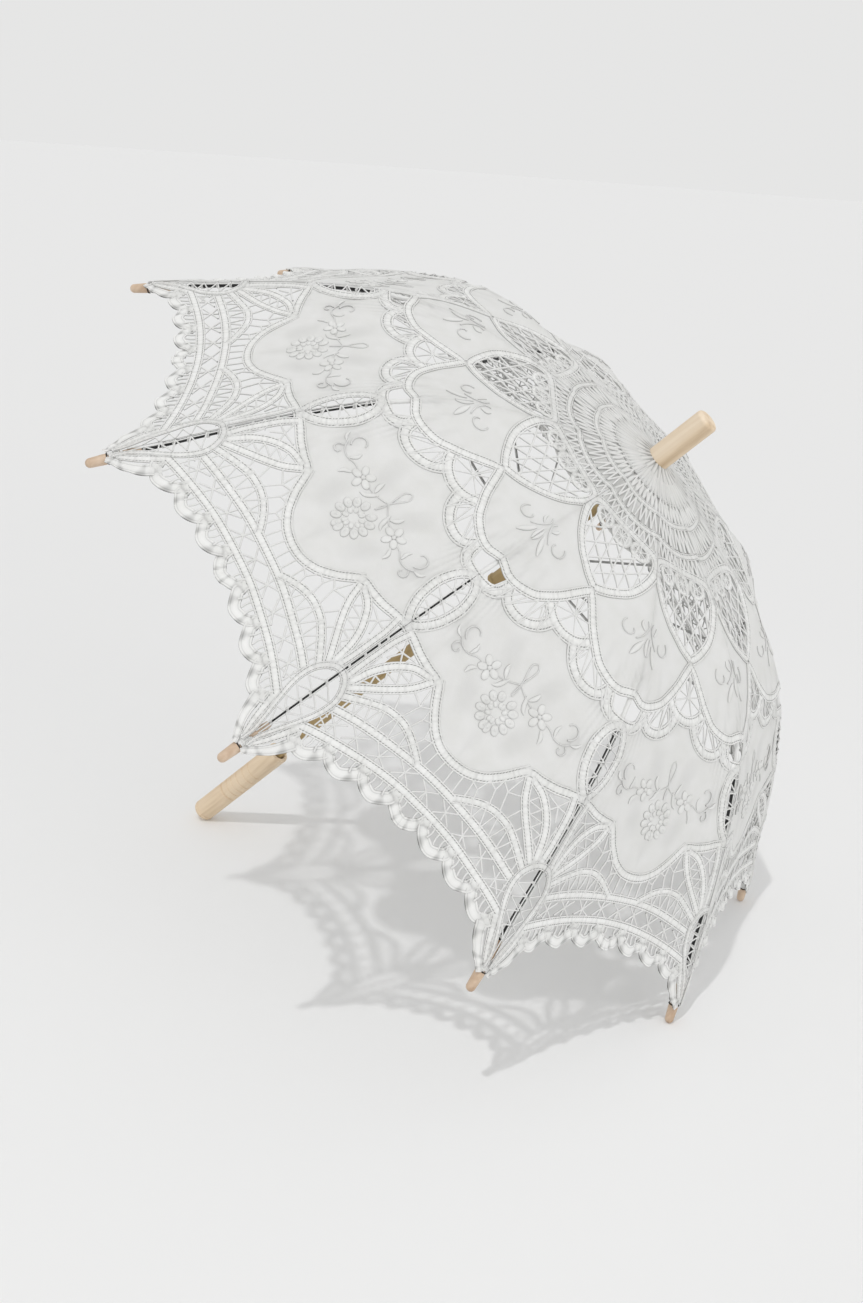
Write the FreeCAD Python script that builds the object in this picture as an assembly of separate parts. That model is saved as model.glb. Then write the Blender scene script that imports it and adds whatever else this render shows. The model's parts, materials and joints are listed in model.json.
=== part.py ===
import FreeCAD, Part
import math
import os

V = FreeCAD.Vector

# A lace parasol, open and lying on the floor on the end of its handle and on two rib tips.
# Every piece is drawn with the shaft along +Z and the end of the handle at z = 0, and is then
# tilted as one rigid whole into the lying attitude. Millimetres throughout.

# ---- driving dimensions -------------------------------------------------------------------
RIBS = 10
STEP = 360.0 / RIBS                  # angle from one rib to the next
HALF_STEP = STEP / 2                 # angle from a rib to the middle of a gore

TOTAL_LENGTH = 660.0
HANDLE_LENGTH = 121.0
HANDLE_R = 11.0
SHAFT_R = 5.5
FERRULE_R = 10.5
SOCKET_DEPTH = 42.0                  # how far the shaft goes into the handle
SLIP = 0.05                          # gap of a fixed joint in wood
GAP = 0.3                            # gap between pieces that move past each other

# The open rib, as the four control points (radius, height) of a cubic curve.
HUB_R, HUB_Z = 9.0, 602.5            # hinge of a rib, on the crown's wire
RIB_CURVE = [(HUB_R, HUB_Z), (218.0, 566.0), (223.0, 585.0), (396.0, 369.0)]
RIB_R = 1.5
EYE_R, EYE_HOLE_R, EYE_T = 2.1, 0.85, 1.6
NECK = 8.5                           # flat neck between an eye and the round wire
RING_WIRE_R = 0.6

CROWN_R = 12.0
CROWN_BELOW, CROWN_ABOVE = 5.0, 3.3  # from the hinge to the crown's bottom and top
SLOT_W = 2.2
ROOF = 2.4                           # top of the slots above the hinge

STRETCHER_LENGTH = 220.0
STRETCHER_R = 1.1
STRETCHER_AT = 0.45                  # where it meets the rib, as a share of the rib's length
STRETCHER_DROP = 1.5                 # its rivet below the rib's centre line
STRETCHER_ASIDE = 3.0                # its wire runs this far beside the rib
ASIDE_RUN = 75.0                     # length of that side-stepped stretch
CRANK_RUN = 14.0

RUNNER_PIVOT_R = 11.5
COLLAR_R, COLLAR_BELOW, COLLAR_ABOVE = 14.5, 4.5, 3.5
COLLAR_SLOT_R = 9.2
SLEEVE_R, SLEEVE_LENGTH = 9.4, 44.0
BEAD_R, BEAD_H = 10.4, 5.0
BORE_R = SHAFT_R + GAP

CATCH_W, CATCH_LENGTH = 2.0, 24.0
CATCH_OUT_R, CATCH_IN_R = 7.7, 3.8
CATCH_TRAVEL = 2.6
KEYWAY_R = 8.0
PIN_R = 1.25

TIP_LENGTH = 42.0
TIP_BORE = 12.0
TIP_END_R = 3.6
CLOSED_TIP_R = 20.0                  # the tips stand this far from the shaft's axis when shut

CLOTH = 0.8
CLOTH_ABOVE = 2.2                    # inner face of the canopy above the rib's centre line
CLOTH_OVER_TIP = 4.5                 # the same over the wooden tip
CANOPY_START_R = 25.0
HEM_AT_RIB, HEM_AT_GORE = 452.0, 424.0


# ---- the open rib and the linkage -----------------------------------------------------------
rib_curve = Part.BezierCurve()
rib_curve.setPoles([V(r, 0, z) for r, z in RIB_CURVE])
RIB_LENGTH = rib_curve.length()


def on_rib(distance):
    """Point and unit tangent of the open rib, in the XZ plane, at a distance along it."""
    u = rib_curve.parameterAtDistance(min(distance, RIB_LENGTH), rib_curve.FirstParameter)
    return rib_curve.value(u), V(*rib_curve.tangent(u)[0]).normalize()


def above(tangent):
    """Unit normal of the rib on the canopy's side."""
    return V(-tangent.z, 0, tangent.x)


hinge = V(HUB_R, 0, HUB_Z)
tip_start, tip_axis = on_rib(RIB_LENGTH - TIP_LENGTH)
tip_end = tip_start + tip_axis * TIP_LENGTH

lever = tip_end - hinge
FOLD_DEG = math.degrees(math.acos((CLOSED_TIP_R - HUB_R) / lever.Length)
                        + math.atan2(lever.z, lever.x))

rivet_point, rivet_tangent = on_rib(STRETCHER_AT * RIB_LENGTH)
rivet = rivet_point - above(rivet_tangent) * STRETCHER_DROP
rivet_shut = hinge + FreeCAD.Rotation(V(0, 1, 0), FOLD_DEG).multVec(rivet - hinge)


def runner_height(at):
    """Height of the stretcher's lower pivot when its upper one is at a point."""
    return at.z - math.sqrt(STRETCHER_LENGTH ** 2 - (at.x - RUNNER_PIVOT_R) ** 2)


RUNNER_Z = runner_height(rivet)
RUNNER_TRAVEL = RUNNER_Z - runner_height(rivet_shut)
runner_pivot = V(RUNNER_PIVOT_R, 0, RUNNER_Z)
STRETCHER_DEG = math.degrees(math.atan2(rivet.z - RUNNER_Z, rivet.x - RUNNER_PIVOT_R))
STRETCHER_SHUT_DEG = math.degrees(math.acos((rivet_shut.x - RUNNER_PIVOT_R)
                                            / STRETCHER_LENGTH))
SLEEVE_BOTTOM = RUNNER_Z - COLLAR_BELOW - SLEEVE_LENGTH


# ---- how it lies ----------------------------------------------------------------------------
# The handle's rounded rim and the round ends of the two lowest tips all touch the floor.
RIM_ROUND = 3.0
tip_ball = tip_end - tip_axis * TIP_END_R
run = tip_ball.z - RIM_ROUND
drop = tip_ball.x * math.cos(math.radians(HALF_STEP)) - (HANDLE_R - RIM_ROUND)
LIE = math.atan2(drop, run) + math.asin((TIP_END_R - RIM_ROUND) / math.hypot(run, drop))
HEIGHT = (HANDLE_R - RIM_ROUND) * math.cos(LIE) - RIM_ROUND * math.sin(LIE) + RIM_ROUND
BACK = -271.6                        # puts the origin under the middle of the whole
lying = FreeCAD.Placement(V(BACK, 0, HEIGHT),
                          FreeCAD.Rotation(V(0, 1, 0), 90 - math.degrees(LIE)))


def azimuth(k):
    """Angle of rib k round the shaft from the side that faces the floor."""
    return HALF_STEP + STEP * k


# ---- small helpers ----------------------------------------------------------------------------
def save(name, shape):
    placed = shape.copy()
    placed.Placement = lying.multiply(placed.Placement)
    placed.exportStep("parts/" + name + ".step")


def turned(shape, degrees):
    copy = shape.copy()
    copy.rotate(V(0, 0, 0), V(0, 0, 1), degrees)
    return copy


def lathe(edges):
    """Solid of revolution about Z from the edges of a closed outline in the XZ plane."""
    return Part.Face(Part.Wire(edges)).revolve(V(0, 0, 0), V(0, 0, 1), 360)


def lathe_points(points):
    corners = [V(r, 0, z) for r, z in points]
    return lathe(Part.makePolygon(corners + corners[:1]).Edges)


def rod(start, end, radius):
    along = end - start
    return Part.makeCylinder(radius, along.Length, start, along)


def flat_bar(start, end, height, thickness):
    """Bar with its height in the XZ plane and its thickness centred across it."""
    along = end - start
    side = V(-along.z, 0, along.x).normalize() * (height / 2)
    corners = [start - side, end - side, end + side, start + side, start - side]
    face = Part.Face(Part.makePolygon(corners))
    face.translate(V(0, -thickness / 2, 0))
    return face.extrude(V(0, thickness, 0))


def eye(centre, radius, hole, thickness):
    across = V(0, 1, 0)
    start = centre - across * (thickness / 2)
    disc = Part.makeCylinder(radius, thickness, start, across)
    return disc.cut(Part.makeCylinder(hole, thickness, start, across))


def ring_wire(radius, height):
    return Part.makeTorus(radius, RING_WIRE_R, V(0, 0, height))


def radial_box(r_in, r_out, width, z_low, z_high):
    return Part.makeBox(r_out - r_in, width, z_high - z_low, V(r_in, -width / 2, z_low))


# ---- wooden pieces on the axis ------------------------------------------------------------------
CATCH_AT = {"open_catch": SLEEVE_BOTTOM - GAP - CATCH_LENGTH,
            "shut_catch": SLEEVE_BOTTOM - RUNNER_TRAVEL + 8.0}
CATCH_SIDE = 180.0
STOP_PIN_Z = RUNNER_Z + COLLAR_ABOVE + PIN_R + GAP


def stop_pin():
    reach = SHAFT_R + 1.8
    return rod(V(0, -reach, STOP_PIN_Z), V(0, reach, STOP_PIN_Z), PIN_R)


def shaft():
    z_low = HANDLE_LENGTH - SOCKET_DEPTH
    body = Part.makeCylinder(SHAFT_R, TOTAL_LENGTH - 26 - z_low, V(0, 0, z_low))
    for z in CATCH_AT.values():
        slot = radial_box(CATCH_IN_R - CATCH_TRAVEL - 0.2, SHAFT_R + 1, CATCH_W + 0.4,
                          z - GAP, z + CATCH_LENGTH + GAP)
        body = body.cut(turned(slot, CATCH_SIDE))
    return body.cut(stop_pin())


def handle():
    """Turned grip: rounded button, deep groove, five shallow rings and a plain top."""
    deep = (0.36, 1.6, 1.5)
    rings = [(share, 0.8, 0.9) for share in (0.43, 0.49, 0.555, 0.635, 0.71)]
    points = []
    for share, depth, half_width in [(0.045, 0.7, 0.8), deep] + rings:
        z = share * HANDLE_LENGTH
        points += [V(HANDLE_R, 0, z - half_width), V(HANDLE_R - depth, 0, z),
                   V(HANDLE_R, 0, z + half_width)]
    top_round, mouth_r, mouth_depth = 1.2, 7.4, 7.0
    socket_r = SHAFT_R + SLIP
    socket_z = HANDLE_LENGTH - SOCKET_DEPTH - 1
    half = math.sqrt(0.5)
    rim = Part.Arc(V(HANDLE_R - RIM_ROUND, 0, 0),
                   V(HANDLE_R - RIM_ROUND * (1 - half), 0, RIM_ROUND * (1 - half)),
                   V(HANDLE_R, 0, RIM_ROUND)).toShape()
    shoulder = Part.Arc(V(HANDLE_R, 0, HANDLE_LENGTH - top_round),
                        V(HANDLE_R - top_round * (1 - half), 0,
                          HANDLE_LENGTH - top_round * (1 - half)),
                        V(HANDLE_R - top_round, 0, HANDLE_LENGTH)).toShape()
    side = Part.makePolygon([V(HANDLE_R, 0, RIM_ROUND)] + points
                            + [V(HANDLE_R, 0, HANDLE_LENGTH - top_round)]).Edges
    inside = Part.makePolygon([V(HANDLE_R - top_round, 0, HANDLE_LENGTH),
                               V(mouth_r, 0, HANDLE_LENGTH),
                               V(mouth_r, 0, HANDLE_LENGTH - mouth_depth),
                               V(socket_r, 0, HANDLE_LENGTH - mouth_depth),
                               V(socket_r, 0, socket_z), V(0, 0, socket_z), V(0, 0, 0),
                               V(HANDLE_R - RIM_ROUND, 0, 0)]).Edges
    return lathe([rim] + side + [shoulder] + inside)


FERRULE_Z = HUB_Z + CROWN_ABOVE + CLOTH + 0.4


def ferrule():
    top_round = 3.0
    half = math.sqrt(0.5)
    socket_z = TOTAL_LENGTH - 25
    low = Part.makePolygon([V(FERRULE_R - top_round, 0, TOTAL_LENGTH), V(0, 0, TOTAL_LENGTH),
                            V(0, 0, socket_z), V(SHAFT_R + SLIP, 0, socket_z),
                            V(SHAFT_R + SLIP, 0, FERRULE_Z), V(FERRULE_R, 0, FERRULE_Z),
                            V(FERRULE_R, 0, TOTAL_LENGTH - top_round)]).Edges
    nose = Part.Arc(V(FERRULE_R, 0, TOTAL_LENGTH - top_round),
                    V(FERRULE_R - top_round * (1 - half), 0,
                      TOTAL_LENGTH - top_round * (1 - half)),
                    V(FERRULE_R - top_round, 0, TOTAL_LENGTH)).toShape()
    return lathe(low + [nose])


def crown():
    """Slotted wooden collar that holds the ten rib eyes on one ring of wire."""
    low, top, bevel = HUB_Z - CROWN_BELOW, HUB_Z + CROWN_ABOVE, 1.5
    bore = SHAFT_R + SLIP
    body = lathe_points([(bore, low), (CROWN_R - 1, low), (CROWN_R, low + 1),
                         (CROWN_R, top - bevel), (CROWN_R - bevel, top), (bore, top)])
    for k in range(RIBS):
        slot = radial_box(HUB_R - EYE_R - GAP, CROWN_R + 1, SLOT_W, low - 1, HUB_Z + ROOF)
        body = body.cut(turned(slot, azimuth(k)))
    return body.cut(Part.makeTorus(HUB_R, RING_WIRE_R + SLIP, V(0, 0, HUB_Z)))


def runner():
    """Wooden slider: slotted collar, long sleeve, and a bead to pull on."""
    low, top = SLEEVE_BOTTOM, RUNNER_Z + COLLAR_ABOVE
    collar_low = RUNNER_Z - COLLAR_BELOW
    body = lathe_points([(BORE_R, low), (BEAD_R - 1, low), (BEAD_R, low + 1),
                         (BEAD_R, low + BEAD_H - 1), (BEAD_R - 1, low + BEAD_H),
                         (SLEEVE_R, low + BEAD_H), (SLEEVE_R, collar_low - 3),
                         (COLLAR_R - 1, collar_low), (COLLAR_R, collar_low + 1),
                         (COLLAR_R, top - 1), (COLLAR_R - 1, top), (BORE_R, top)])
    for k in range(RIBS):
        slot = radial_box(COLLAR_SLOT_R, COLLAR_R + 1, SLOT_W,
                          RUNNER_Z - EYE_R - GAP, top + 1)
        body = body.cut(turned(slot, azimuth(k)))
    keyway = radial_box(SHAFT_R - 1, KEYWAY_R, CATCH_W + 0.6, low - 1, top + 1)
    body = body.cut(turned(keyway, CATCH_SIDE))
    return body.cut(Part.makeTorus(RUNNER_PIVOT_R, RING_WIRE_R + SLIP, V(0, 0, RUNNER_Z)))


def catch(z):
    """Sprung nose that stands out of the shaft and is pressed flush to let the runner by."""
    top = z + CATCH_LENGTH
    corners = [V(CATCH_IN_R, 0, z), V(CATCH_IN_R + 1.4, 0, z),
               V(CATCH_OUT_R, 0, top - 2.5), V(CATCH_OUT_R - 0.3, 0, top),
               V(CATCH_IN_R, 0, top), V(CATCH_IN_R, 0, z)]
    face = Part.Face(Part.makePolygon(corners))
    face.translate(V(0, -CATCH_W / 2, 0))
    return turned(face.extrude(V(0, CATCH_W, 0)), CATCH_SIDE)


def canopy_centre():
    """Middle of the lace cover, pinched between the crown and the ferrule."""
    z = HUB_Z + CROWN_ABOVE + 0.2
    edge_r, edge_z = CANOPY_START_R - 1.6, z - 3.0
    bore = SHAFT_R + GAP
    return lathe_points([(bore, z), (CROWN_R, z), (edge_r, edge_z),
                         (edge_r, edge_z + CLOTH), (CROWN_R, z + CLOTH), (bore, z + CLOTH)])


# ---- the ten arms -------------------------------------------------------------------------------
def rib():
    """Steel wire with a flat pierced eye, bent by the pull of the cover."""
    first, last = NECK - 1, RIB_LENGTH - TIP_LENGTH + TIP_BORE - 0.5
    start, tangent = on_rib(first)
    span = rib_curve.toShape(rib_curve.parameterAtDistance(first, 0),
                             rib_curve.parameterAtDistance(last, 0))
    circle = Part.Wire(Part.makeCircle(RIB_R, start, tangent))
    wire = Part.Wire(span).makePipeShell([circle], True, True)
    neck = flat_bar(hinge + tangent * (EYE_HOLE_R + 0.4), start + tangent * 2, 2.6, EYE_T)
    head = rod(rivet, rivet - V(0, RIB_R + 0.8, 0), 1.3)
    return wire.fuse([neck, eye(hinge, EYE_R, EYE_HOLE_R, EYE_T), head]).removeSplitter()


def tip():
    """Turned wooden end of a rib, waisted where the cover is bound on with thread."""
    waist, shoulder = (15.0, 24.0), 25.5
    full_r, waist_r, nose_r, bore_r = 4.0, 2.7, 2.3, RIB_R + SLIP
    ball_z = TIP_LENGTH - TIP_END_R
    half = math.sqrt(0.5)
    end = Part.Arc(V(TIP_END_R, 0, ball_z), V(TIP_END_R * half, 0, ball_z + TIP_END_R * half),
                   V(0, 0, TIP_LENGTH)).toShape()
    rest = Part.makePolygon([V(0, 0, TIP_LENGTH), V(0, 0, TIP_BORE), V(bore_r, 0, TIP_BORE),
                             V(bore_r, 0, 0), V(nose_r, 0, 0), V(3.3, 0, 9),
                             V(3.3, 0, 13), V(waist_r, 0, waist[0]), V(waist_r, 0, waist[1]),
                             V(full_r, 0, shoulder), V(full_r, 0, 29),
                             V(TIP_END_R, 0, ball_z)]).Edges
    body = lathe([end] + rest)
    body.Placement = FreeCAD.Placement(tip_start, FreeCAD.Rotation(V(0, 0, 1), tip_axis))
    return body


def stretcher():
    """Steel arm from the runner to the rib; its outer stretch steps aside to pass the rib."""
    along = (rivet - runner_pivot).normalize()
    aside = V(0, STRETCHER_ASIDE, 0)
    bend = STRETCHER_LENGTH - ASIDE_RUN
    route = [runner_pivot + along * (NECK - 1), runner_pivot + along * bend,
             runner_pivot + along * (bend + CRANK_RUN) + aside, rivet + aside]
    pieces = [rod(a, b, STRETCHER_R) for a, b in zip(route, route[1:])]
    pieces += [Part.makeSphere(STRETCHER_R, bend_point) for bend_point in route[1:3]]
    pieces.append(flat_bar(runner_pivot + along * (EYE_HOLE_R + 0.4),
                           runner_pivot + along * (NECK + 1), 2.2, EYE_T))
    pieces.append(rod(rivet + V(0, RIB_R + GAP, 0), rivet + V(0, RIB_R + GAP + 1.8, 0), 2.0))
    pieces.append(rod(rivet + V(0, RIB_R + 2, 0), rivet + V(0, RIB_R + 3.4, 0), 1.3))
    runner_eye = eye(runner_pivot, EYE_R, EYE_HOLE_R, EYE_T)
    return runner_eye.fuse(pieces).removeSplitter()


def cover_outline(w):
    """Closed outline of the cover, w from 0 over a rib to 1 in the middle of a gore."""
    from_gore = math.atan((1 - w) * math.tan(math.radians(HALF_STEP)))
    pull_in = math.cos(math.radians(HALF_STEP)) / math.cos(from_gore)
    first = CANOPY_START_R - HUB_R
    last = HEM_AT_GORE + (HEM_AT_RIB - HEM_AT_GORE) * (1 - w) ** 4
    lift_from, lift_to = HEM_AT_GORE - 16, HEM_AT_GORE + 4
    faces = []
    for thickness in (0, CLOTH):
        points = []
        for i in range(15):
            distance = first + (last - first) * i / 14
            point, tangent = on_rib(distance)
            lift = min(max((distance - lift_from) / (lift_to - lift_from), 0), 1)
            rise = CLOTH_ABOVE + (CLOTH_OVER_TIP - CLOTH_ABOVE) * lift + thickness
            point = point + above(tangent) * rise
            points.append(V(point.x * pull_in, 0, point.z))
        curve = Part.BSplineCurve()
        curve.interpolate(points)
        faces.append(curve.toShape())
    inner, outer = faces
    ends = [(edge.firstVertex().Point, edge.lastVertex().Point) for edge in faces]
    top = Part.makeLine(ends[0][0], ends[1][0])
    hem = Part.makeLine(ends[0][1], ends[1][1])
    return Part.Wire([inner, hem, outer, top]), math.degrees(from_gore)


def canopy_panel():
    """Lace cover of one rib, out to the middle of the gore on each side."""
    outlines = []
    for w in (-1, -0.75, -0.5, -0.25, 0, 0.25, 0.5, 0.75, 1):
        outline, from_gore = cover_outline(abs(w))
        side = 1 if w > 0 else -1
        turn = side * (HALF_STEP - from_gore)
        outline.rotate(V(0, 0, 0), V(0, 0, 1), turn)
        if abs(w) == 1:
            away = math.radians(turn)
            outline.translate(V(math.sin(away), -math.cos(away), 0) * (side * GAP / 2))
        outlines.append(outline)
    return Part.makeLoft(outlines, True, True)


# ---- write the parts ------------------------------------------------------------------------------
os.makedirs("parts", exist_ok=True)
single = {
    "shaft": shaft(), "handle": handle(), "ferrule": ferrule(), "stop_pin": stop_pin(),
    "crown": crown(), "crown_wire": ring_wire(HUB_R, HUB_Z),
    "runner": runner(), "runner_wire": ring_wire(RUNNER_PIVOT_R, RUNNER_Z),
    "canopy_centre": canopy_centre(),
}
for catch_name, catch_z in CATCH_AT.items():
    single[catch_name] = catch(catch_z)
for name, shape in single.items():
    save(name, shape)

repeated = {"rib": rib(), "rib_tip": tip(), "stretcher": stretcher(),
            "canopy_panel": canopy_panel()}
for kind, shape in repeated.items():
    for k in range(RIBS):
        save(f"{kind}_{k}", turned(shape, azimuth(k)))

print(f"rib {RIB_LENGTH:.1f}, fold {FOLD_DEG:.2f} deg, runner at {RUNNER_Z:.1f} travels"
      f" {RUNNER_TRAVEL:.1f}, lies at {math.degrees(LIE):.2f} deg, {HEIGHT:.2f} up")
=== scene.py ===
"""Looks of the lace parasol: tape-lace cover, binding threads, wood, steel, floor and light.

The cover is drawn once, flat, for half a gore, in millimetres: x runs across from the middle of
the gore to the rib, y runs down the rib from the crown's hinge, and lift stands up from the cloth.
Two mirrored halves make the cover of one rib, and ten of those make the parasol.
"""

import json
import math

import bmesh
import bpy
import numpy as np
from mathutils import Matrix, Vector
from mathutils.geometry import delaunay_2d_cdt


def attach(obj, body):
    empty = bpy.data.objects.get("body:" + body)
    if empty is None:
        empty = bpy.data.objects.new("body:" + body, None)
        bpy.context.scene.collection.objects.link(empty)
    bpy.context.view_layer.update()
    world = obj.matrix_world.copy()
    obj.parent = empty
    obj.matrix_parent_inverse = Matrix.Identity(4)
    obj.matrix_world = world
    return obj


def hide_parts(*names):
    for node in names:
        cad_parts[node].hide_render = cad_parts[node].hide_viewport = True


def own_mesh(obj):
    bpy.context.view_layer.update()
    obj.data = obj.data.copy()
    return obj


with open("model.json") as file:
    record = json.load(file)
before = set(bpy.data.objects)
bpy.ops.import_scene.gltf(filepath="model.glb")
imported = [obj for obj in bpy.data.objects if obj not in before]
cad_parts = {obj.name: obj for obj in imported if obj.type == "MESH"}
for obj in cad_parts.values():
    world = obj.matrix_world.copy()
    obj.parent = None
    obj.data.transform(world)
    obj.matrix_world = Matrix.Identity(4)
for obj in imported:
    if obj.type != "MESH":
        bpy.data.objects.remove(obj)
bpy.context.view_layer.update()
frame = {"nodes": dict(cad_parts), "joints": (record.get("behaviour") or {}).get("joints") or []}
nodes = frame["nodes"]
joints = {j["name"]: j for j in frame["joints"]}

# ---- the parasol's own axes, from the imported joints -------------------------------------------
MM = 0.001
RIBS = 10
HALF_STEP = math.pi / RIBS
HUB_R, HUB_Z = 9.0, 602.5
RIB_CURVE = [(HUB_R, HUB_Z), (218.0, 566.0), (223.0, 585.0), (396.0, 369.0)]
SHAFT = -np.array(joints["runner_slide"]["axis"])
DOWN = np.array([SHAFT[2], 0.0, -SHAFT[0]])
SIDE = np.array([0.0, 1.0, 0.0])


def radial(angle):
    return math.cos(angle) * DOWN + math.sin(angle) * SIDE


def tangential(angle):
    return -math.sin(angle) * DOWN + math.cos(angle) * SIDE


def rib_angle(k):
    return HALF_STEP * (1 + 2 * k)


HANDLE_END = (np.array(joints["rib_0_fold"]["pos_m"]) / MM
              - HUB_R * radial(HALF_STEP) - HUB_Z * SHAFT)


# ---- the curve of a rib, and the cover above it -----------------------------------------------
t = np.linspace(0, 1, 1501)[:, None]
p0, p1, p2, p3 = (np.array(p) for p in RIB_CURVE)
WIRE = (1 - t) ** 3 * p0 + 3 * (1 - t) ** 2 * t * p1 + 3 * (1 - t) * t * t * p2 + t ** 3 * p3
ARC = np.r_[0, np.cumsum(np.linalg.norm(np.diff(WIRE, axis=0), axis=1))]
TANGENT = np.gradient(WIRE, axis=0)
TANGENT /= np.linalg.norm(TANGENT, axis=1)[:, None]
ABOVE = np.stack([-TANGENT[:, 1], TANGENT[:, 0]], 1)


def rise(y):
    """Height of the cover above the rib's centre line."""
    return 2.6 + 1.9 * np.clip((y - 408) / 22, 0, 1)


COVER = WIRE + ABOVE * rise(ARC)[:, None]


def along(table, y):
    return np.stack([np.interp(y, ARC, table[:, 0]), np.interp(y, ARC, table[:, 1])], -1)


def half(y):
    """Width from the middle of a gore to the rib."""
    return np.interp(y, ARC, COVER[:, 0]) * math.sin(HALF_STEP)


def R(u, y):
    """A point at a distance u from the rib."""
    return float(half(y)) - u, y


rng = np.random.default_rng(7)
WAVES = [(rng.normal(size=(6, 3)), rng.uniform(0, 6.28, 6)) for _ in range(3)]


def wave(points, kind, length):
    """Smooth random field of about unit size over points in space."""
    directions, phases = WAVES[kind]
    return np.sin(points @ directions.T / length * 2.6 + phases).mean(1) * 1.8


def to_space(sheet_points, k, side):
    """Points (x, y, lift) of half a gore, laid on the cover beside rib k. Metres."""
    x, y, lift = sheet_points.T
    limit = half(y)
    x = np.clip(x, 0, limit)
    r, z = along(COVER, y).T
    nr, nz = along(ABOVE, y).T
    across = x / np.maximum(limit, 1)
    slack = np.clip((y - 20) / 120, 0, 1) * np.clip((455 - y) / 60, 0, 1)
    sag = 4.0 * (1 - across ** 2) * slack
    middle = rib_angle(k) + side * HALF_STEP
    out, sideways = radial(middle), tangential(middle)
    up = nr[:, None] * out + nz[:, None] * SHAFT
    flat = (HANDLE_END + (r * math.cos(HALF_STEP))[:, None] * out
            - side * x[:, None] * sideways + z[:, None] * SHAFT)
    loose = slack[:, None] * np.clip(1.15 - across ** 4, 0.15, 1)[:, None]
    drift = 0.7 * wave(flat, 0, 55)[:, None] * sideways
    drift = drift + 0.7 * wave(flat, 1, 45)[:, None] * np.cross(sideways, up)
    puff = 0.8 * wave(flat, 2, 70)[:, None] + 0.3 * wave(flat, 1, 16)[:, None]
    return (flat + up * (lift - sag)[:, None] + loose * (drift + puff * up)) * MM


# ---- drawing tools for the flat half gore -----------------------------------------------------
class Drawing:
    """Points (x, y, lift), their painted shading and faces of one kind of material, drawn flat.

    Painted shading is 1 where no shade is painted, and less in stitch dents, creases, under
    threads and along edges.
    """

    def __init__(self):
        self.points, self.tones, self.faces, self.count = [], [], [], 0

    def add(self, points, faces, tone=1.0):
        points = np.asarray(points, float).reshape(-1, 3)
        self.points.append(points)
        self.tones.append(np.broadcast_to(tone, len(points)).astype(float))
        self.faces += [[i + self.count for i in f] for f in faces]
        self.count += len(points)


def smooth(points, step):
    """Catmull-Rom line through points, cut into equal steps."""
    p = np.array(points, float)
    if len(p) > 2:
        p = np.vstack([2 * p[0] - p[1], p, 2 * p[-1] - p[-2]])
        u = np.linspace(0, 1, 12, endpoint=False)[:, None]
        parts = [0.5 * (2 * b + (c - a) * u + (2 * a - 5 * b + 4 * c - d) * u ** 2
                        + (3 * b - a - 3 * c + d) * u ** 3)
                 for a, b, c, d in zip(p, p[1:], p[2:], p[3:])]
        p = np.vstack(parts + [p[-2:-1]])
    lengths = np.r_[0, np.cumsum(np.linalg.norm(np.diff(p, axis=0), axis=1))]
    n = max(2, int(round(lengths[-1] / step)) + 1)
    s = np.linspace(0, lengths[-1], n)
    return np.stack([np.interp(s, lengths, p[:, 0]), np.interp(s, lengths, p[:, 1])], 1)


def normals(line):
    d = np.gradient(line, axis=0)
    d /= np.maximum(np.linalg.norm(d, axis=1), 1e-9)[:, None]
    return np.stack([-d[:, 1], d[:, 0]], 1)


def beside(points, distance):
    """The line at a distance to the left of another."""
    line = smooth(points, FINE_STEP)
    return line + normals(line) * distance


def part_of(line, start, end):
    line = np.asarray(line)
    return line[int(start * (len(line) - 1)):int(end * (len(line) - 1)) + 1]


def at_share(line, share):
    line = np.asarray(line, float)
    s = np.r_[0, np.cumsum(np.linalg.norm(np.diff(line, axis=0), axis=1))]
    return (np.interp(share * s[-1], s, line[:, 0]), np.interp(share * s[-1], s, line[:, 1]))


def grid_faces(rows, columns):
    return [(i * columns + j, i * columns + j + 1, (i + 1) * columns + j + 1,
             (i + 1) * columns + j)
            for i in range(rows - 1) for j in range(columns - 1)]


# A tape's section, from edge to edge: raised cords, sunk stitch rows, a slightly raised middle.
TAPE_ACROSS = np.array([-1, -0.94, -0.84, -0.72, -0.6, -0.48, 0, 0.48, 0.6, 0.72, 0.84, 0.94, 1])
TAPE_LIFT = np.array([-0.6, 0.2, 0.35, 0.2, -0.05, 0.15, 0.25, 0.15, -0.05, 0.2, 0.35, 0.2, -0.6])
# Painted shade across the tape: darkest at its edges, and darker in the sunk stitch rows.
TAPE_PAINTED_SHADING = np.array([0.3, 0.85, 1, 0.97, 0.75, 0.95, 1, 0.95, 0.75, 0.97, 1, 0.85, 0.3])
STITCH_ROWS = (4, 8)

# Steps along lines, sides of round things, and how high the embroidery starts above the cloth.
TAPE_STEP, OUTLINE_STEP, THREAD_STEP, LEAF_STEP, FINE_STEP = 1.25, 2.6, 2.5, 1.5, 1.0
THREAD_SIDES, TUBE_SIDES, OVAL_SIDES = 6, 7, 18
OVAL_BASE, LEAF_BASE, CURL_END = 0.25, 0.2, 0.45


def within(line):
    """The part of a line that lies on half a gore, ending exactly on its borders."""
    on = (line[:, 0] >= 0) & (line[:, 0] <= half(line[:, 1]))
    keep = on | np.r_[on[1:], False] | np.r_[False, on[:-1]]
    line = line[keep]
    return np.column_stack([np.clip(line[:, 0], 0, half(line[:, 1])), line[:, 1]])


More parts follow.
